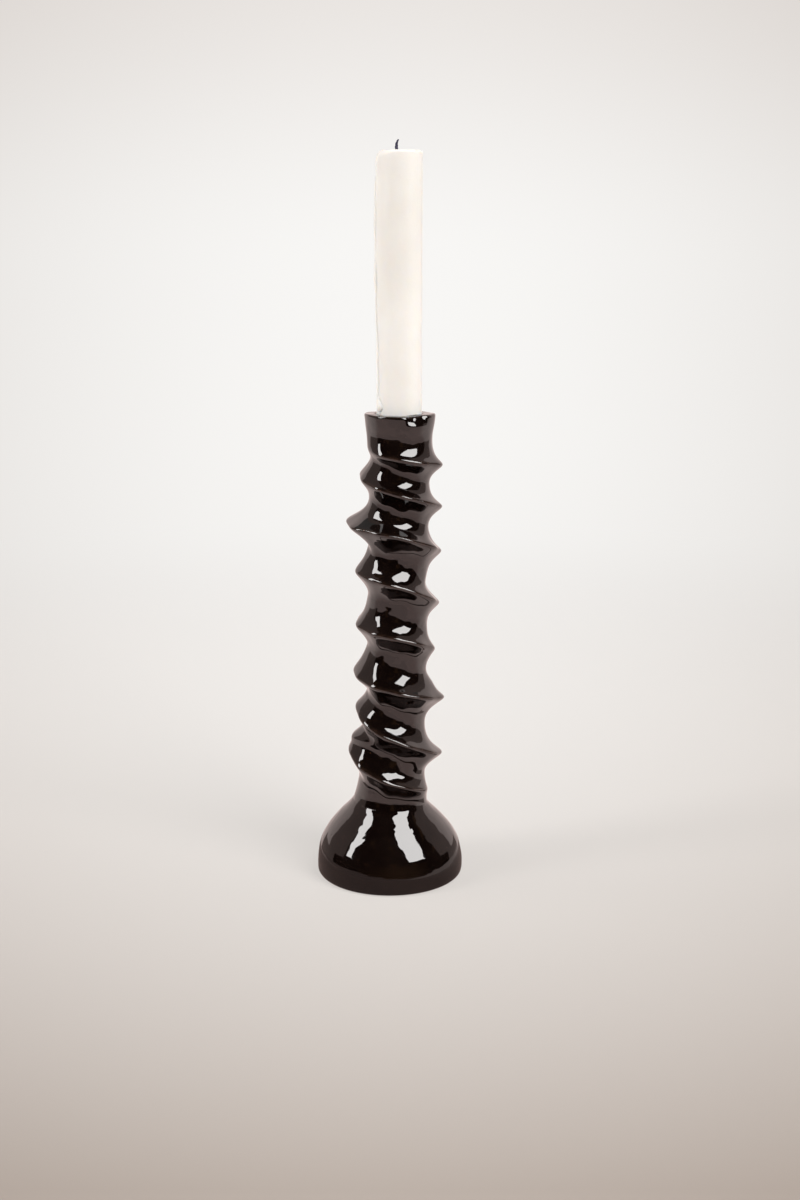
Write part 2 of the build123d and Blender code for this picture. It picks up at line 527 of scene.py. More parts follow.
@dataclass(frozen=True)
class BareClay(Finish):
    """Unglazed stoneware with dark grog, as on the foot ring and in the hollow."""

    pale: Triple = (0.36, 0.27, 0.19)
    deep: Triple = (0.23, 0.16, 0.11)
    grog: Triple = (0.06, 0.04, 0.03)
    relief_depth: float = 0.00022

    def material(self, effects: Effects) -> Material:
        """Builds the material.

        Args:
            effects: Shared groups.

        Returns:
            The material.
        """
        material, board, shader, place = self.open()
        cloud = board.group(effects.mottle, place, Scale=90.0, Low=0.0, High=1.0)
        grog = board.group(effects.flecks, place, Scale=620.0, Share=0.16, Size=0.34)
        grain = board.group(effects.relief, place, Scale=1500.0, Grain=4.0)
        rough = board.group(effects.mottle, place, Scale=500.0, Low=0.78, High=0.95)
        colour = board.mix(cloud, self.deep, self.pale)
        board.wire(board.mix(grog, colour, self.grog), shader.inputs["Base Color"])
        board.wire(rough, shader.inputs["Roughness"])
        self.raise_grain(board, shader, grain, self.relief_depth)
        return material


@dataclass(frozen=True)
class CandleWax(Finish):
    """Satin off-white wax that lets light in a little, with faint clouds, dust and painted shade at its top.
    """

    warm: Triple = (0.695, 0.693, 0.668)
    cool: Triple = (0.725, 0.727, 0.71)
    # Painted shade: the wax is multiplied by this, a little darker towards the top, where the lamps light it
    # more
    top_shade: Triple = (0.93, 0.925, 0.915)
    top_shade_heights: Pair = (0.24, 0.33)
    dust: Triple = (0.50, 0.44, 0.36)
    relief_depth: float = 0.00006
    refraction: float = 1.44
    glow: float = 0.35
    glow_depth: float = 0.004
    glow_spread: Triple = (1.0, 0.75, 0.5)

    def material(self, effects: Effects) -> Material:
        """Builds the material.

        Args:
            effects: Shared groups.

        Returns:
            The material.
        """
        material, board, shader, place = self.open()
        cloud = board.group(effects.mottle, place, Scale=45.0, Low=0.0, High=1.0)
        dust = board.group(effects.flecks, place, Scale=130.0, Share=0.02, Size=0.07)
        grain = board.group(effects.relief, place, Scale=700.0, Grain=3.0)
        satin = board.group(effects.mottle, place, Scale=160.0, Low=0.38, High=0.52)
        colour = board.mix(cloud, self.warm, self.cool)
        # Painted shade: darker towards the top of the candle, where the lamps light it more
        top_shade_share = board.ramp(board.parts()[2], *self.top_shade_heights, (0.0, 1.0))
        colour = board.mix(top_shade_share, colour, self.top_shade, "MULTIPLY")
        board.wire(board.mix(dust, colour, self.dust), shader.inputs["Base Color"])
        board.wire(satin, shader.inputs["Roughness"])
        self.raise_grain(board, shader, grain, self.relief_depth)
        shader.inputs["IOR"].default_value = self.refraction
        shader.inputs["Subsurface Weight"].default_value = self.glow
        shader.inputs["Subsurface Radius"].default_value = self.glow_spread
        shader.inputs["Subsurface Scale"].default_value = self.glow_depth
        return material


@dataclass(frozen=True)
class BurntCotton(Finish):
    """Charred blue-black cotton with a little grey ash."""

    char: Triple = (0.010, 0.009, 0.030)
    ash: Triple = (0.045, 0.042, 0.075)
    relief_depth: float = 0.0002

    def material(self, effects: Effects) -> Material:
        """Builds the material.

        Args:
            effects: Shared groups.

        Returns:
            The material.
        """
        material, board, shader, place = self.open()
        cloud = board.group(effects.mottle, place, Scale=900.0, Low=0.0, High=1.0)
        grain = board.group(effects.relief, place, Scale=4500.0, Grain=3.0)
        rough = board.group(effects.mottle, place, Scale=1200.0, Low=0.8, High=0.98)
        board.wire(board.mix(cloud, self.char, self.ash), shader.inputs["Base Color"])
        board.wire(rough, shader.inputs["Roughness"])
        self.raise_grain(board, shader, grain, self.relief_depth)
        return material


@dataclass(frozen=True)
class HandRipples:
    """Unevenness that fingers leave: a seeded sum of cosine waves over angle and height."""

    seed: int
    swing: float
    shortest: float
    longest: float
    girth: float
    waves: int = 40

    def height(self, angle: np.ndarray, rise: np.ndarray) -> np.ndarray:
        """Height of the ripples: swing times the root of 2 / waves times the sum of
        cos(m angle + q rise + phase), with m whole so that the sum closes round the girth.

        Args:
            angle: Angles round the axis, radians.
            rise: Distances along the profile.

        Returns:
            Height in millimetres.
        """
        rng = np.random.default_rng(self.seed)
        number = 2 * np.pi / rng.uniform(self.shortest, self.longest, self.waves)
        heading = rng.uniform(0, np.pi, self.waves)
        around = np.round(number * np.cos(heading) * self.girth / (2 * np.pi))
        along = number * np.sin(heading)
        phase = rng.uniform(0, 2 * np.pi, self.waves)
        total = np.zeros(np.broadcast(angle, rise).shape)
        for m, q, p in zip(around, along, phase):
            total += np.cos(m * angle + q * rise + p)
        return self.swing * math.sqrt(2 / self.waves) * total


@dataclass
class SpiralForm:
    """The leaning stem and the ridge that winds round it."""

    rim_height: float = 228.0
    cup_height: float = 200.0
    waist_height: float = 150.0
    neck_height: float = 37.0
    lean: float = 4.6
    lean_power: float = 2.5
    waist_radius: float = 13.85
    collar_radius: float = 16.0
    neck_radius: float = 18.0
    neck_swell: float = 2.3
    neck_rise: float = -0.3
    neck_tilt: float = 0.6
    collar_power: int = 3
    swell_power: int = 2
    flare_power: int = 13
    first_crest: float = 204.3
    last_crest: float = 42.5
    turns: int = 7
    reach: float = 11.5
    crest_rounds: Pair = (0.55, 1.1)
    side_rounds: Pair = (0.7, 0.9)
    groove_round: float = 0.06
    upper_share: float = 0.8
    lower_share: float = 0.45
    lower_run: float = 1.38
    upper_powers: Triple = (3.3, 4.3, 1.75)
    power_swing: float = 1.0
    lower_powers: Triple = (2.3, 3.0, -1.15)
    swing_place: float = 4.65
    least_reach: float = 2.0
    pinch: float = 0.035
    pinch_waves: Stations = ((9.7, 1.1), (15.3, 4.0))
    hand_marks: tuple[tuple[float, float, float, float], ...] = (
        (180, 37.0, 5.0, 0.3), (180, 70.0, 3.0, 2.4), (180, 207.4, 4.0, -1.3), (180, 61.0, 5.0, -1.0),
        (0, 59.0, 5.0, 2.2), (0, 97.0, 4.0, 1.6), (0, 146.0, 5.0, -1.5), (180, 138.0, 12.0, 0.8),
        (180, 97.0, 4.0, -1.2), (-100, 45.0, 4.0, 0.35), (-90, 33.5, 4.0, 0.5), (0, 218.0, 12.0, 0.6),
        (180, 226.0, 4.0, -0.5),
    )
    mark_power: int = 3
    crest_band: float = 0.8
    sharp_reaches: Pair = (1.0, 4.0)
    wander: tuple[float, ...] = (
        -0.12, -0.04, 0.00, 0.10, 0.27, 0.25, 0.13, 0.18, 0.31, 0.40, 0.20, 0.20, 0.30, 0.35, 0.10, 0.08,
        0.16, 0.26, 0.10, 0.06, 0.10, 0.13, 0.05, 0.16, 0.32, 0.09, -0.18, 0.06, 0.39, 0.14, 0.00, 0.14,
    )
    reach_shares: tuple[float, ...] = (
        0.00, 0.35, 0.51, 0.45, 0.39, 0.50, 0.57, 0.75, 1.00, 0.65, 0.55, 0.55, 0.57, 0.52, 0.51, 0.52,
        0.52, 0.50, 0.38, 0.48, 0.59, 0.60, 0.75, 0.55, 0.41, 0.55, 0.60, 0.62, 0.66, 0.45, 0.12, 0.00,
    )

    @property
    def pitch(self) -> float:
        """Mean climb of the ridge in one turn."""
        return (self.first_crest - self.last_crest) / self.turns

    def core_radius(self, height: np.ndarray) -> np.ndarray:
        """Radius under the ridge: the waist's, plus a cube upwards to the collar, plus a square and a
        steep power downwards to the neck.

        Args:
            height: Heights to read.

        Returns:
            Radius at each height.
        """
        up = np.clip((height - self.waist_height) / (self.rim_height - self.waist_height), 0, None)
        down = np.clip((self.waist_height - height) / (self.waist_height - self.neck_height), 0, None)
        flare = self.neck_radius - self.waist_radius - self.neck_swell
        radius = self.waist_radius + (self.collar_radius - self.waist_radius) * up**self.collar_power
        return radius + self.neck_swell * down**self.swell_power + flare * down**self.flare_power

    def axis_offset(self, height: np.ndarray) -> np.ndarray:
        """How far the stem's middle stands to the right: a power curve from the neck up to the cup.

        Args:
            height: Heights to read.

        Returns:
            Offset along X at each height.
        """
        left = np.clip((self.cup_height - height) / (self.cup_height - self.neck_height), 0, 1)
        return self.lean * (1 - left**self.lean_power)

    def neck_line(self, angle: np.ndarray) -> np.ndarray:
        """Height at which the dome turns into the stem: highest at the front, a little higher at the
        left than at the right.

        Args:
            angle: Angles round the axis, radians.

        Returns:
            Height at each angle.
        """
        front = np.clip(-np.sin(angle), 0, None)
        return self.neck_height + self.neck_rise * front**2 - self.neck_tilt * np.cos(angle)

    def crest_height(self, place: np.ndarray) -> np.ndarray:
        """Height of the crest: an even screw, a quarter turn a place, plus the hand's wander.

        Args:
            place: Places along the ridge in quarter turns, from the left at its upper end.

        Returns:
            Height at each place.
        """
        even = self.first_crest - self.pitch * (place - 2) / 4
        return even + self.pitch * eased(np.array(self.wander), place)

    def ridge(self, angle: np.ndarray, height: np.ndarray) -> tuple[np.ndarray, np.ndarray]:
        """Lift of the ridge over the core: at each angle the turns' wedges added up, where a wedge is its
        reach times (1 - s) to a power, s being the rounded distance from the crest as a share of the
        room to the next turn, or at the front, below the crest, of a run that goes with the reach. The
        powers go from the left's to the right's, with the front's added, and at the left the upper one
        swings as a cosine along the ridge, so that every other turn is hollower. The crest's rounding
        grows with the square of the cosine of the angle, so that its tips at both sides are blunter.
        Bells of height and angle add the places where a thumb pressed or left clay.

        Args:
            angle: Angles round the axis, radians.
            height: Heights.

        Returns:
            Lift in millimetres, and how near a crest is, from 0 to 1.
        """
        first = ((np.degrees(angle) - 180) % 360) / 90
        side = (1 + np.cos(angle)) / 2
        front = np.clip(-np.sin(angle), 0, None)
        blunt = np.cos(angle) ** 2 * np.where(np.cos(angle) < 0, *self.side_rounds)
        upper_power, lower_power = (
            left + (right - left) * side + more * front
            for left, right, more in (self.upper_powers, self.lower_powers)
        )
        lift = np.zeros(np.broadcast(angle, height).shape)
        near = np.zeros_like(lift)
        last_place = len(self.wander) - 1
        for turn in range(self.turns + 1):
            place = first + 4 * turn
            pinch = 1 + self.pinch * sum(np.cos(rate * place + phase) for rate, phase in self.pinch_waves)
            reach = self.reach * pinch * np.clip(eased(np.array(self.reach_shares), place), 0, None)
            reach = reach * (place <= last_place)
            crest = self.crest_height(place)
            above = self.upper_share * (self.crest_height(place - 4) - crest)
            below = self.lower_share * (crest - self.crest_height(place + 4))
            below = below + front * (self.lower_run * np.maximum(reach, self.least_reach) - below)
            gap = height - crest
            soft = np.where(gap > 0, *self.crest_rounds) + blunt
            share = 1 - (np.hypot(gap, soft) - soft) / np.where(gap > 0, above, below)
            share = (share + np.hypot(share, self.groove_round)) / (1 + math.hypot(1, self.groove_round))
            swing = self.power_swing * (1 - side) * np.cos(np.pi * (place - self.swing_place) / 4)
            hollow = upper_power - swing
            lift += reach * share ** np.where(gap > 0, hollow, lower_power)
            sharp = smooth_step(reach, *self.sharp_reaches)
            near = np.maximum(near, sharp * np.exp(-((gap / self.crest_band) ** 2)))
        for heading, middle, spread, more in self.hand_marks:
            beside = ((1 + np.cos(angle - math.radians(heading))) / 2) ** self.mark_power
            lift += more * beside * np.exp(-(((height - middle) / spread) ** 2))
        return lift, near


@dataclass
class GlazedHolder:
    """The clay holder: one glazed surface from the hollow of its foot to the floor of its socket."""

    form: SpiralForm
    columns: int = 230
    stem_rows: int = 428
    station_rows: tuple[int, int] = (5, 14)
    wall_rows: int = 26
    round_rows: int = 9
    bore_rows: int = 16
    seam_height: float = 217.0
    hollow_stations: Stations = (
        (0.8, 60.0), (7.0, 59.4), (10.2, 56.0), (11.6, 47.0), (13.4, 36.0), (17.6, 31.3), (23.2, 25.2),
        (27.7, 18.2), (30.4, 10.0), (31.0, 5.0), (29.9, 1.4), (29.3, 0.1),
    )
    foot_stations: Stations = ((31.5, 0.0), (34.2, 0.0), (35.2, 0.35))
    dome_stations: Stations = (
        (35.8, 1.5), (36.0, 4.0), (35.7, 9.0), (34.2, 15.9), (31.2, 21.5), (28.0, 25.7), (24.7, 29.4),
        (21.9, 32.1), (20.0, 34.1), (18.8, 35.6),
    )
    dome_skew: float = 0.2
    skew_angle: float = 0.13
    skew_heights: Triple = (6.0, 14.0, 28.0)
    tilt_heights: Pair = (10.0, 33.0)
    mark_heights: Pair = (11.0, 20.0)
    ridge_heights: Pair = (24.0, 31.0)
    free_stations: float = 1.2
    ripple_rises: Pair = (2.0, 12.0)
    lip_height: float = 9.6
    lip_reach: float = 0.75
    lip_rounds: Pair = (0.4, 1.1)
    mouth_round: float = 1.1
    bore: float = 11.3
    seat_height: float = 206.0
    seat_rises: Pair = (0.6, 0.2)
    seat_insets: Pair = (0.15, 0.6)
    seat_radii: Triple = (8.0, 4.0, 1.0)
    dent_angle: float = math.radians(-57)
    dent_width: float = math.radians(19)
    dent_depth: float = 1.7
    dent_drops: Pair = (4.2, 0.6)
    dent_dip: float = 0.5
    dent_band: Pair = (0.4, 2.6)
    rim_rise: Pair = (0.5, 0.6)
    rim_waves: tuple[Triple, ...] = ((0.16, 2, 0.6), (0.12, 3, 2.0), (0.08, 7, 0.0))
    rim_drop: float = 6.0
    rim_worn_share: float = 0.7
    flue_stations: Stations = ((14.2, 1.0), (12.4, 59.0), (7.5, 61.5))
    flue_shares: Pair = (0.6, 0.1)
    liner_radius: float = 12.6
    liner_gap: float = 0.8
    seam_gaps: Pair = (0.2, 0.1)
    cup_back_gap: float = 0.4
    pole_lift: float = 0.001
    stem_ripples: HandRipples = HandRipples(seed=11, swing=0.085, shortest=8, longest=26, girth=95)
    stem_marks: HandRipples = HandRipples(seed=12, swing=0.012, shortest=3.5, longest=8, girth=95)
    dome_ripples: HandRipples = HandRipples(seed=13, swing=0.035, shortest=12, longest=40, girth=200)
    dome_marks: HandRipples = HandRipples(seed=14, swing=0.015, shortest=4, longest=10, girth=200)

    def build(self, glaze: Material, clay: Material) -> None:
        """Works out the surface once and cuts it into the base, the stem and the socket.

        Args:
            glaze: Finish of the outside and the socket.
            clay: Finish of the foot ring and the hollow.
        """
        base, bare_rows, base_near = self._base_rings()
        stem, stem_near = self._stem_rings()
        socket, socket_near = self._socket_rings()
        rings = np.concatenate([base, stem, socket])
        normals = normal_of(rings)
        near = np.concatenate([base_near, stem_near, socket_near])
        low, high = len(base), len(base) + len(stem)
        surface = (rings, normals, near)
        self._cut("glazed_base", surface, slice(0, low + 1), None, self._flue(0.0), "base_dome")
        stem_ends = (self._flue(self.liner_gap)[::-1], self._liner())
        self._cut("glazed_stem", surface, slice(low, high + 1), *stem_ends, "stem_core", "spiral_ridge")
        self._cut("glazed_socket", surface, slice(high, len(rings)), self._cup_back(), None, "socket_cup")
        for name in ("glazed_base", "glazed_stem", "glazed_socket"):
            bpy.data.meshes[name].materials.append(glaze)
        self._bare_foot(bpy.data.meshes["glazed_base"], bare_rows, clay)

    @property
    def angle(self) -> np.ndarray:
        """Angles of the columns, anticlockwise from the right."""
        return np.linspace(0, 2 * np.pi, self.columns, endpoint=False)[None, :]

    def _place(self, radius: np.ndarray, height: np.ndarray) -> np.ndarray:
        """Points at a radius from the leaning axis.

        Args:
            radius: Radii, rows by columns.
            height: Heights, rows by columns.

        Returns:
            Points, rows by columns by 3.
        """
        radius, height = np.broadcast_arrays(radius, height)
        angle = self.angle
        across = self.form.axis_offset(height) + radius * np.cos(angle)
        return np.stack([across, radius * np.sin(angle), height], axis=-1)

    def _ring(self, radius: float, height: float) -> np.ndarray:
        """One plain round ring about the axis, as rings of one row."""
        return self._place(np.full((1, self.columns), radius), np.full((1, 1), height))

    def _base_rings(self) -> tuple[np.ndarray, int, np.ndarray]:
        """Rings of the base: a Catmull-Rom profile from the hollow's crown over the foot to the neck,
        where the upper dome leans a little to the left, plus ripples and the ridge's foot.

        Returns:
            Rings, the number of bare rows and the nearness of a crest.
        """
        neck = (float(self.form.core_radius(np.array(self.form.neck_height))), self.form.neck_height)
        stations = np.array(self.hollow_stations + self.foot_stations + self.dome_stations + (neck,))
        bare = len(self.hollow_stations) + len(self.foot_stations) - 1
        last = len(stations) - 1
        inner = np.linspace(0, bare, self.station_rows[0] * bare, endpoint=False)
        outer = np.linspace(bare, last, self.station_rows[1] * (last - bare), endpoint=False)
        place = np.concatenate([inner, outer])[:, None]
        radius, height = eased(stations[:, 0], place), eased(stations[:, 1], place)
        angle = self.angle
        ends = self.form.neck_line(angle)
        tilt = (ends - self.form.neck_height) * smooth_step(height, *self.tilt_heights)
        height = height + (place > bare) * tilt
        trim = self.form.core_radius(ends) - neck[0]
        radius = radius + trim * smooth_step(place, last - 1, last)
        lift, near = self.form.ridge(angle, height)
        free = smooth_step(place, bare, bare + self.free_stations)
        low, high, top = self.skew_heights
        settle = (place > bare) * smooth_step(height, low, high) * smooth_step(-height, -ends, -top)
        steps = np.hypot(np.diff(radius[:, 0]), np.diff(height[:, 0]))
        walk = np.concatenate([[0], np.cumsum(steps)])[:, None]
        marks = smooth_step(height, *self.mark_heights) * self.dome_marks.height(angle, walk)
        ripple = self.dome_ripples.height(angle, walk) + marks
        upper = smooth_step(height, *self.ridge_heights) * (place > bare)
        skewed = radius - self.dome_skew * settle * np.cos(angle - self.skew_angle)
        # The ripples stay inside the widest radius, so that the foot keeps its size
        widest = max(r for r, _ in stations)
        total = np.minimum(skewed + free * ripple, widest) + upper * lift
        return self._place(total, np.maximum(height, 0)), len(inner), near * upper

    def _stem_rings(self) -> tuple[np.ndarray, np.ndarray]:
        """Rings of the stem: core radius plus ridge plus ripples, at even steps from the neck line up to
        the seam.

        Returns:
            Rings and the nearness of a crest.
        """
        ends = self.form.neck_line(self.angle)
        share = np.linspace(0, 1, self.stem_rows, endpoint=False)[:, None]
        height = ends + (self.seam_height - ends) * share
        lift, near = self.form.ridge(self.angle, height)
        return self._place(self.form.core_radius(height) + lift + self._stem_ripple(height), height), near

    def _stem_ripple(self, height: np.ndarray) -> np.ndarray:
        """Ripples of the stem and collar.

        Args:
            height: Heights, rows by columns.

        Returns:
            Height of the ripples, which fade out at the neck.
        """
        angle = self.angle
        fade = smooth_step(height - self.form.neck_line(angle), *self.ripple_rises)
        return fade * (self.stem_ripples.height(angle, height) + self.stem_marks.height(angle, height))

    def _socket_rings(self) -> tuple[np.ndarray, np.ndarray]:
        """Rings of the socket: up the collar to the lip, over the rounded rim and down the bore to its
        floor. The lip turns out by a smooth step and is pressed in at the front right.

        Returns:
            Rings and the nearness of an edge.
        """
        rim = self.form.rim_height
        angle = self.angle
        keen, dull = self.lip_rounds
        worn = keen + (dull - keen) * ((1 + np.cos(angle - self.dent_angle)) / 2) ** 2
        share = np.linspace(0, 1, self.wall_rows, endpoint=False)[:, None]
        wall = self.seam_height + (rim - worn - self.seam_height) * share
        around = np.linspace(0, np.pi / 2, self.round_rows)[:, None]
        lip = self.lip_reach * smooth_step(wall, rim - self.lip_height, rim - dull)
        wall_radius = self.form.core_radius(wall) + lip + self._stem_ripple(wall)
        wall_radius = wall_radius + self.form.ridge(angle, wall)[0]
        edge_radius = wall_radius[-1:] - worn * (1 - np.cos(around))
        edge_height = rim - worn * (1 - np.sin(around))
        mouth_radius = self.bore + self.mouth_round * (1 - np.sin(around))
        mouth_height = rim - self.mouth_round * (1 - np.cos(around))
        bore_foot, floor_edge = (self.seat_height + rise for rise in self.seat_rises)
        bore_height = np.linspace(rim - self.mouth_round, bore_foot, self.bore_rows)[1:, None]
        floor_radii = [self.bore - inset for inset in self.seat_insets] + list(self.seat_radii)
        floor_radius = np.array(floor_radii)[:, None]
        floor_height = np.full_like(floor_radius, self.seat_height)
        floor_height[0] = floor_edge
        flat = np.zeros((1, self.columns))
        radius = np.concatenate([
            wall_radius, edge_radius, mouth_radius + flat,
            np.full((len(bore_height), 1), self.bore) + flat, floor_radius + flat,
        ])
        height = np.concatenate([
            wall, edge_height, mouth_height + flat, bore_height + flat, floor_height + flat,
        ])
        outer = smooth_step(radius, *(self.bore + more for more in self.dent_band))
        gap = np.angle(np.exp(1j * (angle - self.dent_angle)))
        deep, shallow = self.dent_drops
        press = np.exp(-((gap / self.dent_width) ** 4)) * smooth_step(height, rim - deep, rim - shallow)
        radius = radius - outer * press * self.dent_depth
        wave = sum(swing * np.cos(count * angle + phase) for swing, count, phase in self.rim_waves)
        dip = self.dent_dip * outer * np.exp(-((gap / self.dent_width) ** 2))
        tilt = self.rim_rise[0] - self.rim_rise[1] * np.sin(angle)
        rise = smooth_step(height, rim - self.rim_drop, rim) * (tilt + wave - dip)
        inner = np.zeros((len(bore_height) + len(floor_radius), 1))
        near = np.concatenate([np.zeros((len(wall), 1)), np.sin(2 * around), np.sin(2 * around), inner])
        return self._place(radius, height + rise), self.rim_worn_share * (near + flat)

    def _flue(self, more: float) -> np.ndarray:
        """Hidden rings inside the stem that close a piece at the neck, from there up.

        Args:
            more: How much further out and up they stand.

        Returns:
            Rings of three rows.
        """
        (foot_radius, cover), *upper = self.flue_stations
        out, up = self.flue_shares
        neck = self.form.neck_height + self.form.neck_rise + cover + up * more
        shape = [(foot_radius, neck)] + [(radius, height + more) for radius, height in upper]
        return np.concatenate([self._ring(radius + out * more, height) for radius, height in shape])

    def _liner(self) -> np.ndarray:
        """Hidden rings that close the stem's upper end behind the socket.

        Returns:
            Rings of two rows, from the seam down.
        """
        ends = (self.seam_height - self.seam_gaps[0], self.seat_height - 2 * self.liner_gap)
        return np.concatenate([self._ring(self.liner_radius, height) for height in ends])

    def _cup_back(self) -> np.ndarray:
        """Hidden rings that close the back of the socket's wall.

        Returns:
            Rings of two rows, from the socket's floor up to the seam.
        """
        ends = (self.seat_height - self.liner_gap, self.seam_height - self.seam_gaps[1])
        return np.concatenate([self._ring(self.liner_radius - self.cup_back_gap, height) for height in ends])

    def _cut(
        self, name: str, surface: Surface, rows: slice,
        before: np.ndarray | None, after: np.ndarray | None, *nodes: str,
    ) -> None:
        """Makes one piece from some rows of the surface, with the whole surface's normals, so that the
        cuts between the pieces don't show.

        Args:
            name: Name of the piece.
            surface: Rings, normals and nearness of a crest of the whole surface.
            rows: Rows that the piece takes.
            before: Rings that close it out of sight before its first row, if any.
            after: Rings that close it out of sight after its last row, if any.
            nodes: Nodes that the piece stands for.
        """
        shown = tuple(part[rows] for part in surface)
        runs = (self._hidden(before), shown, self._hidden(after))
        points, turned, close = (np.concatenate(parts) for parts in zip(*runs))
        mesh = turn_mesh(name, points)
        poles = np.array([turned[0].mean(axis=0), turned[-1].mean(axis=0)]) + np.array([0, 0, self.pole_lift])
        mesh.normals_split_custom_set_from_vertices(np.vstack([turned.reshape(-1, 3), poles]).tolist())
        paint(mesh, "crest", np.concatenate([close.ravel(), [0.0, 0.0]]))
        place_piece(mesh, Body.HOLDER, Slot.GLAZE, *nodes)

    def _hidden(self, rings: np.ndarray | None) -> Surface:
        """Surface of rings out of sight, far from any crest.

        Args:
            rings: The rings, or none.

        Returns:
            Rings, normals and nearness, of no rows where there are none.
        """
        if rings is None:
            rings = np.zeros((0, self.columns, 3))
            return rings, rings, rings[..., 0]
        return rings, normal_of(rings), np.zeros(rings.shape[:2])

    def _bare_foot(self, mesh: Mesh, bare_rows: int, clay: Material) -> None:
        """Gives the hollow and the foot ring the bare finish.

        Args:
            mesh: Mesh of the base.
            bare_rows: Rows from the hollow's crown to the foot's outer edge.
            clay: Bare finish.
        """
        mesh.materials.append(clay)
        faces = np.arange(len(mesh.polygons))
        quads = len(mesh.polygons) - 2 * self.columns
        crown = (faces >= quads) & (faces < quads + self.columns)
        bare = (faces < (bare_rows - 1) * self.columns) | crown
        mesh.polygons.foreach_set("material_index", bare.astype(np.int32))


@dataclass
class BurntCandle:
    """The candle with its melted shoulder, the wax that ran down it and its wick."""

    middle: float = 4.6
    radius: float = 10.75
    foot_height: float = 206.25
    top_height: float = 348.05
    foot_chamfer: float = 0.8
    foot_radii: Pair = (2.0, 6.0)
    columns: int = 180
    wall_rows: int = 150
    shoulder_rows: int = 14
    pool_rows: int = 16
    wall_inset: float = 0.06
    ripple_shares: Pair = (0.16, 0.24)
    pool_depth: float = 1.6
    pool_share: float = 0.8
    shoulder: Pair = (0.9, 1.1)
    melted_shoulder: Pair = (3.7, 5.4)
    melt_spread: float = math.radians(52)
    wick_offset: float = 1.2
    wick_radius: float = 0.78
    wick_tip_share: float = 0.5
    wick_stand: float = 3.6
    wick_bend_radius: float = 4.0
    wick_bend: float = math.radians(42)
    wick_foot: float = 1.0
    wick_shown: float = 6.0
    wick_taper: float = 1.0
    wick_tip: float = 0.35
    wick_least_share: float = 0.004
    wick_rows: int = 110
    wick_columns: int = 30
    braid_pitch: float = 4.2
    braid_strands: int = 3
    braid_shares: Pair = (0.9, 0.1)
    run_foot: float = 236.6
    run_top: float = 336.8
    run_radius: float = 1.9
    run_angles: Pair = (math.radians(201), math.radians(180))
    run_heights: tuple[float, ...] = (0, 0.05, 0.14, 0.3, 0.47, 0.53, 0.58, 0.66, 0.8, 0.86, 0.93, 1)
    run_swells: tuple[float, ...] = (0.3, 0.5, 0.48, 0.42, 0.55, 1.0, 0.86, 0.55, 0.9, 0.62, 0.52, 0.3)
    run_waves: Stations = ((0.05, 9.0), (0.02, 31.0))
    run_rows: int = 240
    run_close_share: float = 0.012
    run_drift_share: float = 0.9
    run_bed_share: float = 0.5
    drop_breadth: float = 1.5
    drop_least: float = 0.02
    drop_columns: int = 28
    bead_radius: float = 1.9
    bead_foot: float = 229.4
    bead_angle: float = math.radians(212)
    bead_length: float = 7.2
    bead_drift: float = 0.08
    bead_rows: int = 48
    bead_close_shares: Pair = (0.12, 0.05)
    bead_bed_share: float = 0.5
    bead_swells: tuple[float, ...] = (0.15, 0.62, 0.92, 1.0, 0.9, 0.74, 0.5, 0.28)
    wall_ripples: HandRipples = HandRipples(seed=21, swing=0.045, shortest=14, longest=60, girth=68)

    def build(self, wax: Material, cotton: Material) -> None:
        """Builds the four pieces and dresses them.

        Args:
            wax: Finish of the candle, the run and the bead.
            cotton: Finish of the wick.
        """
        pieces = (
            (self._candle(), Slot.WAX, "candle", wax),
            (self._run(), Slot.WAX, "wax_run", wax),
            (self._bead(), Slot.WAX, "wax_bead", wax),
            (self._wick(), Slot.COTTON, "wick", cotton),
        )
        for mesh, slot, node, finish in pieces:
            mesh.materials.append(finish)
            place_piece(mesh, Body.CANDLE, slot, node)

    def _melt(self, angle: np.ndarray) -> np.ndarray:
        """How far the shoulder has melted, 1 at the left, falling off as a bell round the candle."""
        gap = np.angle(np.exp(1j * (angle - np.pi)))
        return np.exp(-((gap / self.melt_spread) ** 2))

    def _candle(self) -> Mesh:
        """The stick: a chamfered foot, the wall, a shoulder that is a quarter ellipse, larger at the
        left, and a top that sinks to the wick as a cosine bowl.

        Returns:
            The mesh.
        """
        angle = np.linspace(0, 2 * np.pi, self.columns, endpoint=False)[None, :]
        melt = self._melt(angle)
        wide = self.shoulder[0] + (self.melted_shoulder[0] - self.shoulder[0]) * melt
        tall = self.shoulder[1] + (self.melted_shoulder[1] - self.shoulder[1]) * melt
        rise = np.linspace(0, 1, self.wall_rows)[:, None]
        ripple = self.wall_ripples.height(angle, rise * (self.top_height - self.foot_height))
        ripple = ripple * smooth_step(rise, *self.ripple_shares)
        wall_radius = self.radius - self.wall_inset + ripple
        wall_height = self.foot_height + self.foot_chamfer
        wall_height = wall_height + rise * (self.top_height - tall - wall_height)
        turn = np.linspace(0, np.pi / 2, self.shoulder_rows)[1:, None]
        edge_radius = wall_radius[-1:] - wide * (1 - np.cos(turn))
        edge_height = self.top_height - tall * (1 - np.sin(turn))
        share = np.linspace(0, 1, self.pool_rows)[1:-1, None]
        top_radius = edge_radius[-1:] * (1 - share)
        sink = self.pool_depth * (1 - np.cos(np.pi * smooth_step(share, 0.0, self.pool_share))) / 2
        top_height = edge_height[-1:] - sink
        foot_radius = np.array([*self.foot_radii, self.radius - self.foot_chamfer])[:, None] + 0 * angle
        foot_height = np.full_like(foot_radius, self.foot_height)
        radius = np.concatenate([foot_radius, wall_radius, edge_radius, top_radius])
        height = np.concatenate([foot_height, wall_height, edge_height, top_height + 0 * angle])
        shift = self.wick_offset * np.concatenate([
            np.zeros((len(foot_radius) + len(wall_radius) + len(edge_radius), 1)), share,
        ])
        rings = np.stack([
            self.middle - shift + radius * np.cos(angle), radius * np.sin(angle), height,
        ], axis=-1)
        return turn_mesh("burnt_candle", rings)

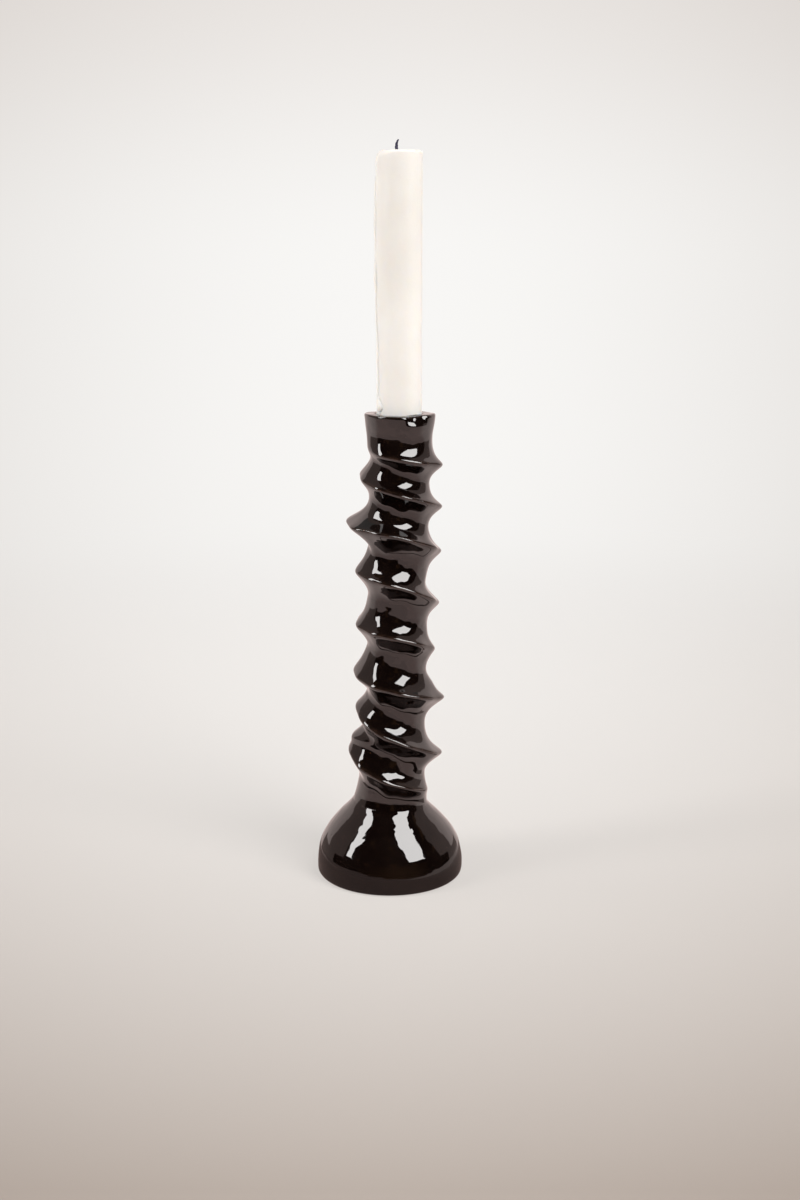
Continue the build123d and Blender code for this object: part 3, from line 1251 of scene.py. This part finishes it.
    def _drop(
        self, name: str, height: np.ndarray, angle: np.ndarray, swell: np.ndarray, bed_share: float,
    ) -> Mesh:
        """Wax set on the candle's wall: ellipses along a line on the wall, sunk into it by the bed share.

        Args:
            name: Name of the mesh.
            height: Heights along the line, one for each row.
            angle: Angles of the line round the candle, one for each row.
            swell: Half thickness, one for each row.
            bed_share: Share of the half thickness that the middle lies inside the wall.

        Returns:
            The mesh.
        """
        turn = np.linspace(0, 2 * np.pi, self.drop_columns, endpoint=False)[None, :]
        out = np.stack([np.cos(angle), np.sin(angle), 0 * angle], axis=-1)[:, None, :]
        side = np.stack([-np.sin(angle), np.cos(angle), 0 * angle], axis=-1)[:, None, :]
        stand = self.radius - bed_share * swell
        middle = np.stack([self.middle + stand * np.cos(angle), stand * np.sin(angle), height], axis=-1)
        thick = swell[:, None] * np.cos(turn)
        broad = (self.drop_breadth * swell)[:, None] * np.sin(turn)
        rings = middle[:, None, :] + thick[..., None] * out + broad[..., None] * side
        return turn_mesh(name, rings)

    def _run(self) -> Mesh:
        """The trickle: swells along a line that drifts to the front as it goes down.

        Returns:
            The mesh.
        """
        share = np.linspace(0, 1, self.run_rows)
        place = np.interp(share, self.run_heights, np.arange(len(self.run_heights)))
        swell = self.run_radius * eased(np.array(self.run_swells), place)
        close = np.sqrt(np.clip(np.minimum(share, 1 - share) / self.run_close_share, 0, 1))
        low, high = self.run_angles
        angle = low + (high - low) * smooth_step(share, 0, self.run_drift_share)
        angle = angle + sum(swing * np.sin(rate * share) for swing, rate in self.run_waves)
        height = self.run_foot + (self.run_top - self.run_foot) * share
        swell = np.maximum(swell * close, self.drop_least)
        return self._drop("run_wax", height, angle, swell, self.run_bed_share)

    def _bead(self) -> Mesh:
        """The drop at the trickle's foot, over the rim.

        Returns:
            The mesh.
        """
        share = np.linspace(0, 1, self.bead_rows)
        swell = self.bead_radius * eased(np.array(self.bead_swells), share * (len(self.bead_swells) - 1))
        low, high = self.bead_close_shares
        close = np.sqrt(np.clip(np.minimum(share / low, (1 - share) / high), 0, 1))
        angle = self.bead_angle - self.bead_drift * share
        height = self.bead_foot + self.bead_length * share
        swell = np.maximum(swell * close, self.drop_least)
        return self._drop("bead_wax", height, angle, swell, self.bead_bed_share)

    def _wick(self) -> Mesh:
        """The wick: a braided round carried up the candle and along an arc at its tip. The braid is
        two opposed screws of three strands each, as a ripple on the radius.

        Returns:
            The mesh.
        """
        bend = self.wick_bend_radius * self.wick_bend
        foot = self.foot_height + self.wick_foot
        stand = self.top_height - self.pool_depth + self.wick_stand - foot
        walk = np.concatenate([[0.0], np.linspace(stand - self.wick_shown, stand + bend, self.wick_rows)])
        turned = np.clip(walk - stand, 0, None) / self.wick_bend_radius
        across = self.wick_bend_radius * (1 - np.cos(turned))
        rise = foot + np.minimum(walk, stand) + self.wick_bend_radius * np.sin(turned)
        thinning = smooth_step(walk, stand - self.wick_taper, stand + bend)
        taper = 1 - (1 - self.wick_tip_share) * thinning
        close = np.sqrt(np.clip((stand + bend - walk) / self.wick_tip, self.wick_least_share, 1))
        turn = np.linspace(0, 2 * np.pi, self.wick_columns, endpoint=False)[None, :]
        screw = 2 * np.pi * walk[:, None] / self.braid_pitch
        strands = self.braid_strands
        braid = np.maximum(np.cos(strands * (turn + screw)), np.cos(strands * (turn - screw)))
        plain, more = self.braid_shares
        radius = (self.wick_radius * taper * close)[:, None] * (plain + more * braid)
        side = np.stack([np.cos(turned), 0 * turned, -np.sin(turned)], axis=-1)[:, None, :]
        back = np.array([0.0, 1.0, 0.0])
        middle = np.stack([self.middle - self.wick_offset + across, 0 * across, rise], axis=-1)[:, None, :]
        over, past = radius * np.cos(turn), radius * np.sin(turn)
        rings = middle + over[..., None] * side + past[..., None] * back
        return turn_mesh("burnt_wick", rings)


@dataclass(frozen=True)
class PaperSweep:
    """Pale seamless paper whose glow has painted shade, darker towards the front, the sides and the top.
    Lengths in metres.

    Camera and mirror rays see mostly a painted glow, so that the paper stays pale where the lights
    fall off, and the rest of its tone is lit, which keeps the object's shadow. Outside the picture the
    camera sees a calmer tone. The glaze mirrors the paper as a painted reflection, with painted shadow
    close to the foot and pale further off.
    """

    pale: Triple = (0.94, 0.93, 0.913)
    # Painted shade: the paper's glow darkens to these tones towards the front, the top and the sides
    front: Triple = (0.445, 0.39, 0.35)
    front_line: float = -0.278
    front_fade: float = 0.34
    front_ends: Pair = (-1.3, -0.287)
    front_sides: Pair = (0.2, 1.3)
    front_rest_share: float = 0.75
    top: Triple = (0.80, 0.76, 0.73)
    top_heights: Pair = (0.2, 0.8)
    side: Triple = (0.75, 0.72, 0.70)
    side_slopes: Triple = (0.5, 0.26, 0.8)
    side_from: float = 0.9
    side_least: float = 0.3
    side_ends: Pair = (-0.6, -0.287)
    glow_share: float = 0.72
    glow_reaches: Pair = (0.35, 0.9)
    glow_heights: Pair = (0.0, 0.05)
    glow_ahead: Pair = (0.29, 0.5)
    # Painted reflection for the glaze: a painted shadow near the foot, darker at the left than at the right,
    # and the floor's tones further off
    mirror_near_shadow: Triple = (0.24, 0.175, 0.16)
    mirror_right: Triple = (0.40, 0.32, 0.30)
    mirror_far: Triple = (0.67, 0.50, 0.472)
    mirror_beside: Triple = (0.95, 0.79, 0.75)
    mirror_lengths: Pair = (0.045, 0.07)
    mirror_ahead: Pair = (-0.1, 0.15)
    mirror_across: Pair = (0.03, 0.1)

    def material(self) -> Material:
        """Builds the material, whose colour goes by the place on the sweep.

        Returns:
            The material.
        """
        material, board = open_material("paper_sweep")
        across, along, up = board.parts()
        path = board.add("LightPath").outputs
        mirrored = self._painted_reflection(board, across, along, path["Ray Length"])
        unseen = board.reckon("SUBTRACT", 1.0, path["Is Camera Ray"])
        colour = board.mix(path["Is Glossy Ray"], self._painted_tone(board, across, along, up, unseen), mirrored)
        mirror = board.reckon("MAXIMUM", path["Is Glossy Ray"], path["Is Transmission Ray"])
        seen = board.reckon("MAXIMUM", path["Is Camera Ray"], mirror)
        lit = board.add("BsdfDiffuse")
        board.wire(colour, lit.inputs["Color"])
        both = board.add("MixShader")
        board.wire(board.reckon("MULTIPLY", seen, self._glow_part(board, across, along, up)), both.inputs[0])
        board.wire(lit.outputs["BSDF"], both.inputs[1])
        board.wire(board.glow(colour).outputs["Emission"], both.inputs[2])
        board.end(both.outputs["Shader"])
        return material

    def _painted_tone(
        self, board: Board, across: NodeSocket, along: NodeSocket, up: NodeSocket, unseen: NodeSocket,
    ) -> NodeSocket:
        """The paper's painted tone: pale, with painted shade that falls as an exponential to the front's,
        mixed to the top's by height and multiplied by the side's where the slope from under the camera grows.

        Args:
            board: Board of the material.
            across: Place to the right.
            along: Place to the back.
            up: Height.
            unseen: 1 where the ray isn't the camera's, which gets the whole change.

        Returns:
            Socket of the colour.
        """
        rest = self.front_rest_share
        aside = board.reckon("ABSOLUTE", across, 0.0)
        behind = board.ramp(along, *self.front_ends, (rest, 1.0))
        framed = board.reckon("MULTIPLY", behind, board.ramp(aside, *self.front_sides, (1.0, rest)))
        inside = board.reckon("MAXIMUM", framed, unseen)
        # Painted shade: the glow darkens towards the front as an exponential
        fall = board.reckon("DIVIDE", board.reckon("SUBTRACT", self.front_line, along), self.front_fade)
        dim = board.reckon("MINIMUM", board.reckon("EXPONENT", fall, 0.0), 1.0)
        colour = board.mix(board.reckon("MULTIPLY", dim, inside), self.pale, self.front)
        colour = board.mix(board.ramp(up, *self.top_heights, (0.0, 1.0)), colour, self.top)
        depth = board.reckon("MAXIMUM", board.reckon("ADD", along, self.side_from), self.side_least)
        slope = board.reckon("DIVIDE", aside, depth)
        full, fade, end = self.side_slopes
        grown, gone = board.ramp(slope, 0.0, full, (0.0, 1.0)), board.ramp(slope, fade, end, (1.0, 0.0))
        kept = board.reckon("MAXIMUM", board.ramp(along, *self.side_ends, (0.0, 1.0)), unseen)
        share = board.reckon("MULTIPLY", board.reckon("MULTIPLY", grown, gone), kept)
        return board.mix(share, colour, self.side, "MULTIPLY")

    def _painted_reflection(
        self, board: Board, across: NodeSocket, along: NodeSocket, length: NodeSocket,
    ) -> NodeSocket:
        """Painted reflection, the tone that the glaze mirrors: for short rays a painted shadow by the foot,
        one pair of colours from left to right, darker at the left, and one for long rays, from beside the
        foot to the front.

        Args:
            board: Board of the material.
            across: Place to the right.
            along: Place to the back.
            length: Length of the ray.

        Returns:
            Socket of the colour.
        """
        ahead = board.reckon("SUBTRACT", 0.0, along)
        to_front = board.ramp(ahead, *self.mirror_ahead, (0.0, 1.0))
        to_right = board.ramp(across, *self.mirror_across, (0.0, 1.0))
        away = board.mix(to_front, self.mirror_beside, self.mirror_far)
        close = board.mix(to_right, self.mirror_near_shadow, self.mirror_right)
        return board.mix(board.ramp(length, *self.mirror_lengths, (0.0, 1.0)), close, away)

    def _glow_part(self, board: Board, across: NodeSocket, along: NodeSocket, up: NodeSocket) -> NodeSocket:
        """Share of the tone that is a painted glow rather than lit: it grows with the distance from the
        object, up the wall and in front of the picture.

        Args:
            board: Board of the material.
            across: Place to the right.
            along: Place to the back.
            up: Height.

        Returns:
            Socket of the share.
        """
        squares = [board.reckon("MULTIPLY", part, part) for part in (across, along)]
        reach = board.reckon("SQRT", board.reckon("ADD", *squares), 0.0)
        far = board.ramp(reach, *self.glow_reaches, (self.glow_share, 1.0))
        far = board.reckon("MAXIMUM", far, board.ramp(up, *self.glow_heights, (0.0, 1.0)))
        ahead = board.reckon("SUBTRACT", 0.0, along)
        return board.reckon("MAXIMUM", far, board.ramp(ahead, *self.glow_ahead, (0.0, 1.0)))


@dataclass(frozen=True)
class DarkRoom:
    """Painted reflection of the unlit room behind the camera, as the glaze mirrors it: a glowing sheet, near
    black in the middle, a dim wall on each side and a few brown things. Lengths in metres."""

    middle: Triple = (0.006, 0.004, 0.0033)
    left_wall: Triple = (0.30, 0.23, 0.21)
    right_wall: Triple = (0.33, 0.255, 0.235)
    brown: Triple = (0.10, 0.05, 0.021)
    left_from: float = math.radians(-80)
    right_from: float = math.radians(88)
    wall_blur: float = 0.04

    def material(self, effects: Effects) -> Material:
        """Builds the material.

        Args:
            effects: Shared groups.

        Returns:
            The material.
        """
        material, board = open_material("dark_room")
        across, along, _ = board.parts()
        place = board.add("TexCoord").outputs["Object"]
        things = board.group(effects.mottle, place, Scale=2.6, Low=-3.0, High=1.0)
        brown = board.reckon("MAXIMUM", things, 0.0)
        colour = board.mix(brown, self.middle, self.brown)
        heading = board.reckon("ARCTAN2", across, board.reckon("SUBTRACT", 0.0, along))
        left = board.ramp(heading, self.left_from - self.wall_blur, self.left_from, (1.0, 0.0))
        right = board.ramp(heading, self.right_from, self.right_from + self.wall_blur, (0.0, 1.0))
        colour = board.mix(right, board.mix(left, colour, self.left_wall), self.right_wall)
        board.end(board.glow(colour).outputs["Emission"])
        return material


@dataclass(frozen=True)
class GreyCard:
    """Painted shadow in the glaze's mirror: a low glowing card by the foot, shaded at the left and the front,
    paler at the right. Lengths in metres."""

    shaded: Triple = (0.26, 0.19, 0.175)
    paler: Triple = (0.58, 0.47, 0.44)
    paler_from: Pair = (0.01, 0.07)

    def material(self) -> Material:
        """Builds the material.

        Returns:
            The material.
        """
        material, board = open_material("grey_card")
        share = board.ramp(board.parts()[0], *self.paler_from, (0.0, 1.0))
        colour = board.mix(share, self.shaded, self.paler)
        board.end(board.glow(colour).outputs["Emission"])
        return material


@dataclass
class Studio:
    """Paper sweep, dark room behind the camera and low cards as painted reflections, soft lights and the
    camera. Lengths in metres.
    """

    floor_height: float = -0.0003
    floor_reaches: Pair = (0.001, 1.62)
    floor_rows: int = 30
    sweep_round: float = 0.55
    sweep_rows: int = 24
    sweep_columns: int = 97
    wall_height: float = 2.6
    room_reach: float = 1.5
    room_width: float = math.radians(122)
    room_rises: Pair = (math.radians(0.1), math.radians(88))
    room_rows: int = 25
    room_columns: int = 49
    card_reach: float = 0.08
    card_heights: Triple = (0.0, 0.004, 0.022)
    light_reach: float = 1.3
    key_heading: float = math.radians(46)
    key_rise: float = math.radians(42)
    key_size: Pair = (0.64, 1.2)
    strip_heading: float = math.radians(-71)
    strip_rise: float = math.radians(36)
    strip_size: Pair = (0.28, 1.05)
    glow: float = 8.4
    tint: Triple = (1.0, 0.975, 0.962)
    fill_heading: float = math.radians(-88)
    fill_rise: float = math.radians(14)
    fill_size: Pair = (1.2, 1.0)
    fill_glow: float = 2.85
    aim: Triple = (0.0, 0.0, 0.05)
    eye: Triple = (0.005, -0.7815, 0.3285)
    tilt: float = math.radians(13.68)
    lens: float = 50.0
    sensor: float = 36.0
    nearest: float = 0.01
    sky: Triple = (0.9, 0.87, 0.84)
    sky_glow: float = 0.25

    def build(self, effects: Effects) -> None:
        """Sets up the paper, the dark room, the lights, the world and the camera.

        Args:
            effects: Shared groups.
        """
        place_stage(self._sweep(), PaperSweep().material())
        dark = DarkRoom().material(effects)
        # Painted reflections: glowing sheets that only the glaze sees, for the dark room and the shaded floor
        # by the foot
        flags = (
            (self._room(), dark),
            (self._card("grey_card", *self.card_heights[:2]), GreyCard().material()),
            (self._card("dark_card", *self.card_heights[1:]), dark),
        )
        for mesh, finish in flags:
            unlit = place_stage(mesh, finish)
            unlit.visible_camera = False
            unlit.visible_diffuse = False
            unlit.visible_shadow = False
        self._light("key_light", self.key_heading, self.key_rise, self.key_size, self.glow)
        self._light("strip_light", self.strip_heading, self.strip_rise, self.strip_size, self.glow)
        fill = self._light("fill_light", self.fill_heading, self.fill_rise, self.fill_size, self.fill_glow)
        fill.visible_glossy = False
        self._world()
        self._camera()
        bpy.context.scene.view_settings.view_transform = "Standard"

    def _sweep(self) -> Mesh:
        """Round paper sweep: a flat floor, a quarter circle and a wall, carried round the middle.

        Returns:
            The mesh.
        """
        turn = np.linspace(0, np.pi / 2, self.sweep_rows)[1:]
        floor = np.linspace(*self.floor_reaches, self.floor_rows)
        reach = np.concatenate([floor, self.floor_reaches[1] + self.sweep_round * np.sin(turn)])
        height = np.concatenate([np.zeros(self.floor_rows), self.sweep_round * (1 - np.cos(turn))])
        reach = np.append(reach, reach[-1])[:, None]
        height = np.append(height, self.wall_height)[:, None] + self.floor_height
        angle = np.linspace(0, 2 * np.pi, self.sweep_columns)[None, :]
        grid = np.stack([reach * np.cos(angle), reach * np.sin(angle), height + 0 * angle], axis=-1)
        return sheet_mesh("paper_sweep", grid)

    @property
    def headings(self) -> np.ndarray:
        """Headings of the room's and the cards' columns, from the front to the right."""
        return np.linspace(-self.room_width, self.room_width, self.room_columns)[None, :]

    def _room(self) -> Mesh:
        """Dark room: a patch of a sphere in front of the object, over the camera.

        Returns:
            The mesh.
        """
        heading = self.headings
        rise = np.linspace(*self.room_rises, self.room_rows)[:, None]
        across, along = np.sin(heading) * np.cos(rise), -np.cos(heading) * np.cos(rise)
        grid = np.stack([across, along, np.sin(rise) + 0 * heading], axis=-1)
        return sheet_mesh("dark_room", self.room_reach * grid)

    def _card(self, name: str, low: float, high: float) -> Mesh:
        """Low card that stands round the front, for the painted reflection by the foot, which keeps the far
        floor out of the foot's mirror image.

        Args:
            name: Name of the mesh.
            low: Height of its lower edge.
            high: Height of its upper edge.

        Returns:
            The mesh, a strip of a cylinder.
        """
        heading = self.headings
        rise = np.array([[low], [high]]) + self.floor_height
        across = self.card_reach * np.sin(heading) + 0 * rise
        along = -self.card_reach * np.cos(heading) + 0 * rise
        return sheet_mesh(name, np.stack([across, along, rise + 0 * heading], axis=-1))

    def _light(self, name: str, heading: float, rise: float, size: Pair, glow: float) -> Object:
        """Sets up a soft light that faces the object.

        Args:
            name: Name of the light.
            heading: Its heading from the front, to the right.
            rise: Its angle above the floor.
            size: Its width and height.
            glow: Its radiance.

        Returns:
            The light.
        """
        lamp = bpy.data.lights.new(name, "AREA")
        lamp.shape = "RECTANGLE"
        lamp.size, lamp.size_y = size
        lamp.color = self.tint
        lamp.energy = glow * math.pi * size[0] * size[1]
        light = bpy.data.objects.new(name, lamp)
        bpy.context.scene.collection.objects.link(light)
        level = math.cos(rise)
        toward = Vector((math.sin(heading) * level, -math.cos(heading) * level, math.sin(rise)))
        light.location = Vector(self.aim) + self.light_reach * toward
        light.rotation_euler = toward.to_track_quat("Z", "Y").to_euler()
        light.visible_camera = False
        return light

    def _world(self) -> None:
        """Dim pale surroundings above the sweep."""
        world = bpy.data.worlds.new("studio_room")
        world.use_nodes = True
        board = Board(world.node_tree)
        back = board.add("Background")
        back.inputs["Color"].default_value = (*self.sky, 1.0)
        back.inputs["Strength"].default_value = self.sky_glow
        board.wire(back.outputs["Background"], board.add("OutputWorld").inputs["Surface"])
        bpy.context.scene.world = world

    def _camera(self) -> None:
        """Camera at the photographed angle."""
        data = bpy.data.cameras.new("camera")
        data.sensor_fit = "VERTICAL"
        data.sensor_height = self.sensor
        data.lens = self.lens
        data.clip_start = self.nearest
        camera = bpy.data.objects.new("camera", data)
        bpy.context.scene.collection.objects.link(camera)
        camera.location = self.eye
        camera.rotation_euler = (math.pi / 2 - self.tilt, 0.0, 0.0)
        bpy.context.scene.camera = camera


def main() -> None:
    """Builds the holder, the candle and the studio in order."""
    logging.basicConfig(level=logging.INFO, format="%(message)s")
    effects = Effects()
    glaze, clay = BlackGlaze("black_glaze"), BareClay("bare_clay")
    GlazedHolder(SpiralForm()).build(glaze.material(effects), clay.material(effects))
    wax, cotton = CandleWax("candle_wax"), BurntCotton("burnt_cotton")
    BurntCandle().build(wax.material(effects), cotton.material(effects))
    Studio().build(effects)


if __name__ == "__main__":
    main()
